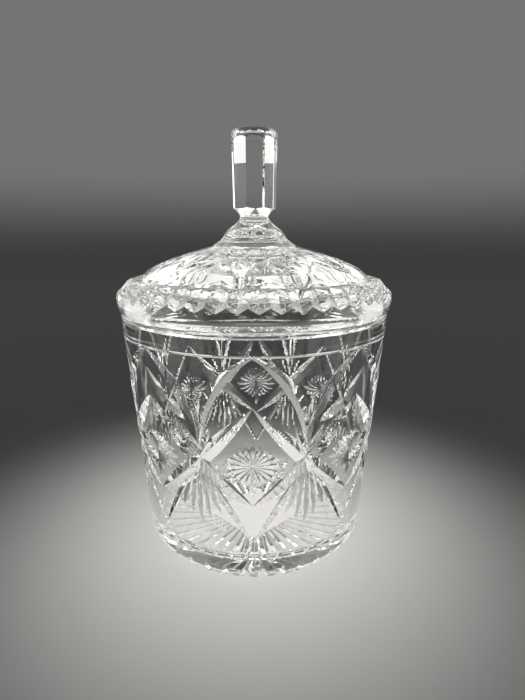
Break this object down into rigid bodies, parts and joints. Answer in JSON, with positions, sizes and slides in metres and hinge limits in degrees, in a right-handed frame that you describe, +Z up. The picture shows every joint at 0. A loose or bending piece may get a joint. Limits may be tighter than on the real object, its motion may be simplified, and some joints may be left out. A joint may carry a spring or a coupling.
{
  "type": "lidded crystal jar",
  "caption": "Tapered cut crystal jar with a star-cut base and a loose domed lid that has a notched rolled rim and a tall faceted finial.",
  "frame": {"origin": "centre of the foot on the resting plane", "axes": "+Z up along the jar's axis, towards the finial; -Y is the front, where one cut panel faces squarely"},
  "size_m": [0.1474, 0.1474, 0.2245],
  "materials": {
    "crystal": "polished colourless lead crystal",
    "paper": "matt white paper"
  },
  "bodies": {
    "jar_body": {"jar": "crystal", "paper_label": "paper"},
    "lid_body": {"lid": "crystal", "finial": "crystal"}
  },
  "joints": [
    {"name": "lid_lift", "type": "slide", "parent": "jar_body", "child": "lid_body", "axis": [0, 0, 1], "range_m": [0, 0.12]}
  ]
}
